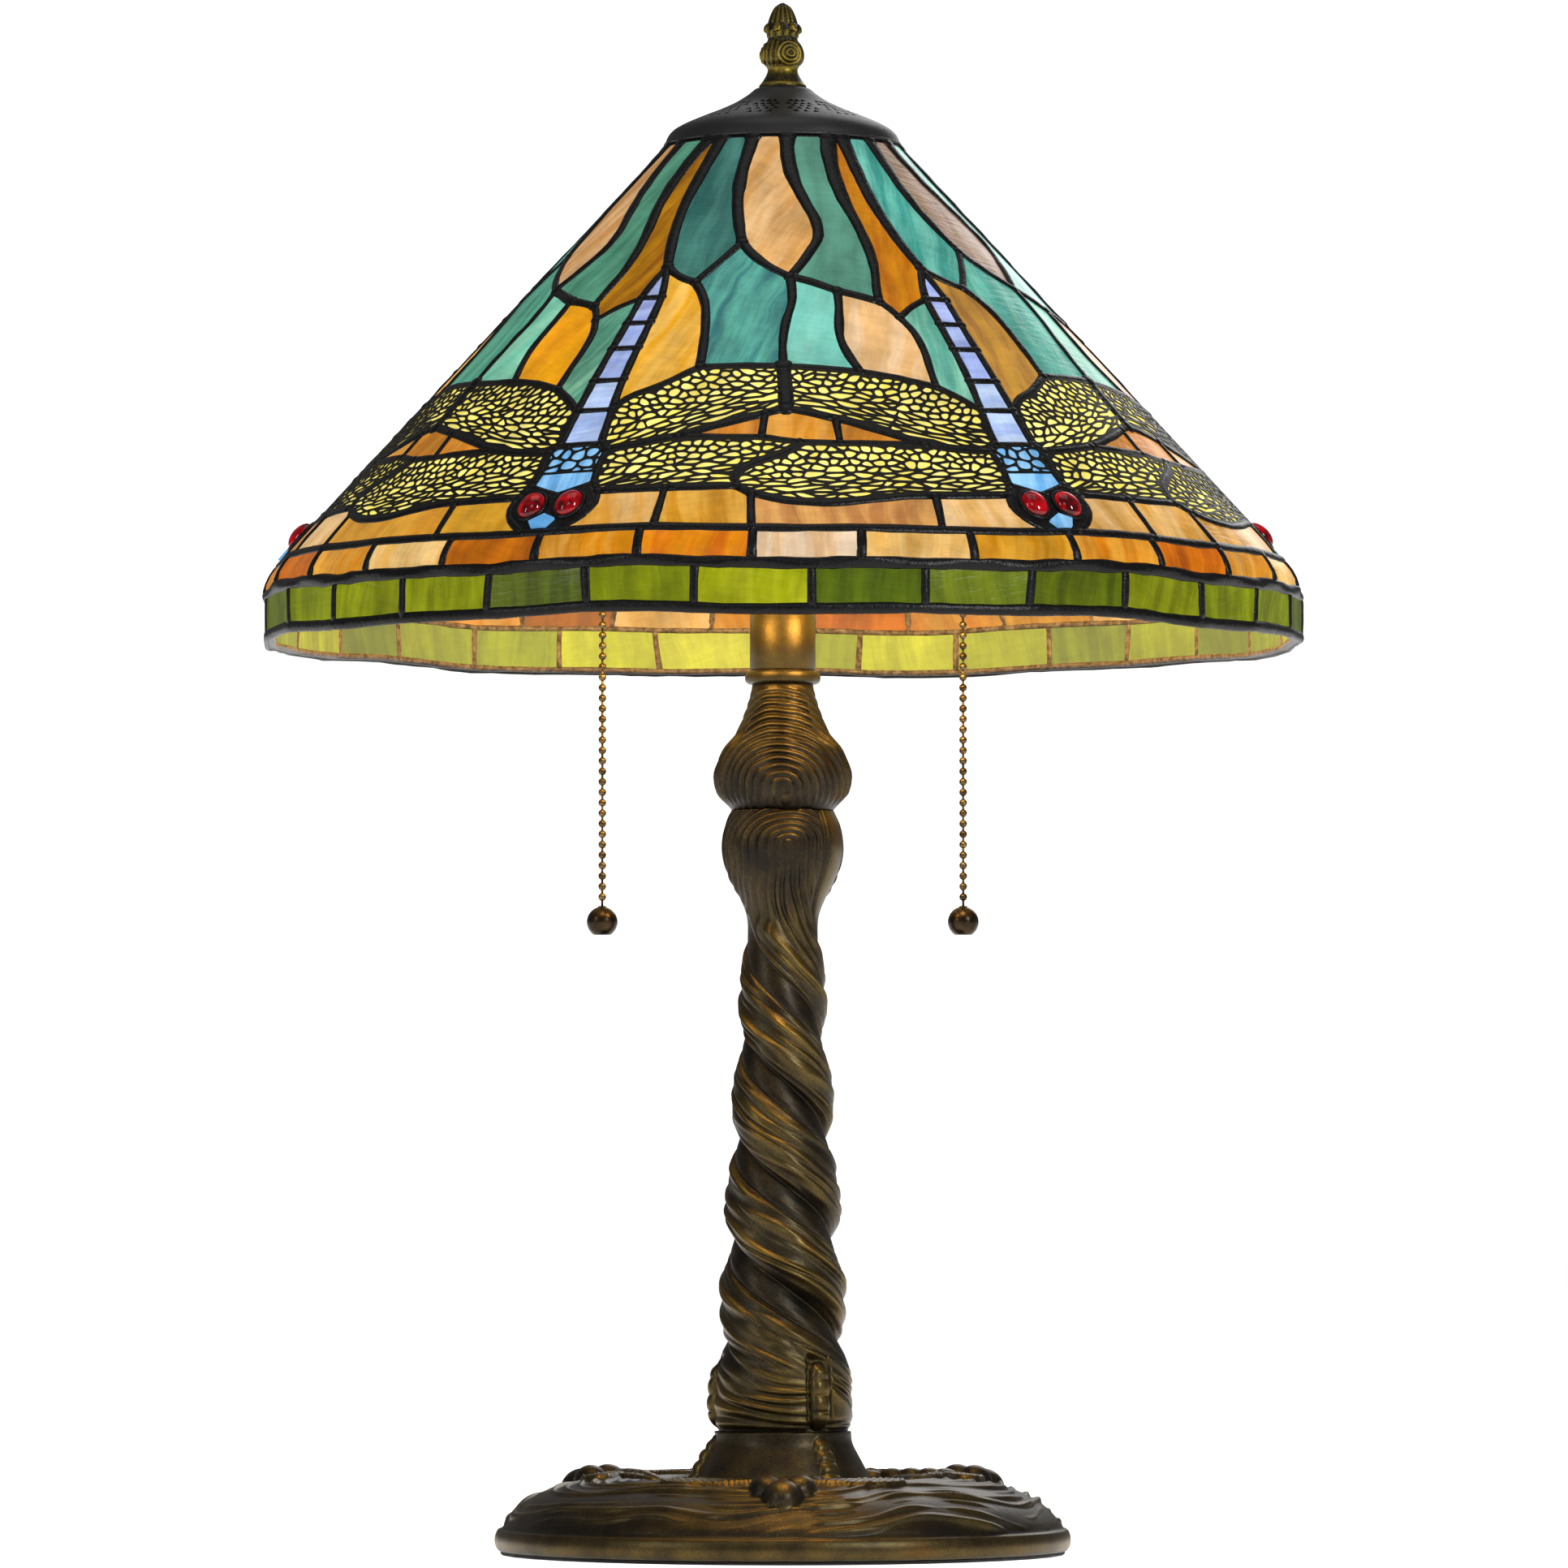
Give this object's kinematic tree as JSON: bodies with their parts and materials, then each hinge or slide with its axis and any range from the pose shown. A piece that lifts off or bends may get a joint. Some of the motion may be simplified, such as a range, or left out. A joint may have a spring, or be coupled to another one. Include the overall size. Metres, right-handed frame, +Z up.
{
  "type": "stained glass table lamp",
  "caption": "Table lamp with a conical leaded glass shade of dragonflies, a twisted cast bronze column, a round cast foot and pull chains.",
  "frame": {"origin": "centre of the foot's underside, on the felt pad", "axes": "+Z up; -Y towards the front, where a dragonfly of the foot looks; the pull chains hang at -X and +X"},
  "size_m": [0.4064, 0.4064, 0.6065],
  "materials": {
    "antique_bronze": "dark antique bronze, rubbed to gold on the ridges",
    "dark_cap": "satin black-brown patina",
    "solder_patina": "black patina on solder, slightly lumpy",
    "polished_brass": "aged brass",
    "finial_brass": "antique brass, dark in the hollows",
    "steel_hardware": "zinc plated",
    "cast_iron": "as cast",
    "phenolic": "moulded dark brown",
    "felt": "black felt",
    "bulb_glass": "frosted, lit warm white",
    "teal_glass": "streaky opalescent, rippled",
    "wing_glass": "bright yellow opalescent",
    "amber_glass": "streaky amber and cream",
    "green_glass": "streaky olive green",
    "blue_glass": "periwinkle and sky blue opalescent",
    "ruby_glass": "polished ruby cabochons in black solder"
  },
  "bodies": {
    "stand": {"foot_casting": "antique_bronze", "felt_pad": "felt", "ballast_ring": "cast_iron", "foot_washer": "steel_hardware", "foot_nut": "steel_hardware", "cord_bushing": "phenolic", "lamp_pipe": "steel_hardware", "column_casting": "antique_bronze", "neck_casting": "antique_bronze", "check_ring": "antique_bronze", "sleeve_tube": "antique_bronze", "cluster_hub": "dark_cap", "cluster_arm_left": "dark_cap", "socket_cap_left": "polished_brass", "socket_shell_left": "polished_brass", "socket_switch_left": "phenolic", "chain_spout_left": "polished_brass", "bulb_envelope_left": "bulb_glass", "bulb_cap_left": "steel_hardware", "cluster_arm_right": "dark_cap", "socket_cap_right": "polished_brass", "socket_shell_right": "polished_brass", "socket_switch_right": "phenolic", "chain_spout_right": "polished_brass", "bulb_envelope_right": "bulb_glass", "bulb_cap_right": "steel_hardware", "riser_rod": "steel_hardware", "riser_nut": "steel_hardware", "shade_spider": "polished_brass"},
    "shade": {"upper_field_glass": "teal_glass", "wing_band_glass": "wing_glass", "upper_brick_glass": "amber_glass", "lower_brick_glass": "amber_glass", "skirt_glass": "green_glass", "rim_wire": "solder_patina", "shade_top_ring": "polished_brass", "vase_cap": "dark_cap", "wing_overlay_1": "solder_patina", "dragonfly_head_1": "ruby_glass", "wing_overlay_2": "solder_patina", "dragonfly_head_2": "ruby_glass", "wing_overlay_3": "solder_patina", "dragonfly_head_3": "ruby_glass", "wing_overlay_4": "solder_patina", "dragonfly_head_4": "ruby_glass", "wing_overlay_5": "solder_patina", "dragonfly_head_5": "ruby_glass", "wing_overlay_6": "solder_patina", "dragonfly_head_6": "ruby_glass"},
    "finial": {"finial": "finial_brass"},
    "switch_chain_left": {"switch_chain_left": "polished_brass"},
    "chain_link_left": {"chain_coupling_left": "polished_brass"},
    "pull_chain_left": {"pull_chain_left": "polished_brass", "pull_ball_left": "dark_cap"},
    "switch_chain_right": {"switch_chain_right": "polished_brass"},
    "chain_link_right": {"chain_coupling_right": "polished_brass"},
    "pull_chain_right": {"pull_chain_right": "polished_brass", "pull_ball_right": "dark_cap"}
  },
  "joints": [
    {"name": "shade_swivel", "type": "hinge", "parent": "stand", "child": "shade", "pos_m": [0, 0, 0.5503], "axis": [0, 0, 1], "continuous": true},
    {"name": "finial_turn", "type": "hinge", "parent": "stand", "child": "finial", "pos_m": [0, 0, 0.585], "axis": [0, 0, 1], "continuous": true},
    {"name": "chain_pull_left", "type": "slide", "parent": "stand", "child": "switch_chain_left", "axis": [0, 0, 1], "range_m": [-0.008, 0], "stiffness_N_per_m": 250, "springref_m": 0.002},
    {"name": "chain_sway_left", "type": "hinge", "parent": "switch_chain_left", "child": "chain_link_left", "pos_m": [-0.0706, 0, 0.37935], "axis": [0, 1, 0], "range_deg": [-12, 12]},
    {"name": "chain_swing_left", "type": "hinge", "parent": "chain_link_left", "child": "pull_chain_left", "pos_m": [-0.0706, 0, 0.37265], "axis": [1, 0, 0], "range_deg": [-12, 12]},
    {"name": "chain_pull_right", "type": "slide", "parent": "stand", "child": "switch_chain_right", "axis": [0, 0, 1], "range_m": [-0.008, 0], "stiffness_N_per_m": 250, "springref_m": 0.002},
    {"name": "chain_sway_right", "type": "hinge", "parent": "switch_chain_right", "child": "chain_link_right", "pos_m": [0.0706, 0, 0.37935], "axis": [0, 1, 0], "range_deg": [-12, 12]},
    {"name": "chain_swing_right", "type": "hinge", "parent": "chain_link_right", "child": "pull_chain_right", "pos_m": [0.0706, 0, 0.37265], "axis": [1, 0, 0], "range_deg": [-12, 12]}
  ]
}
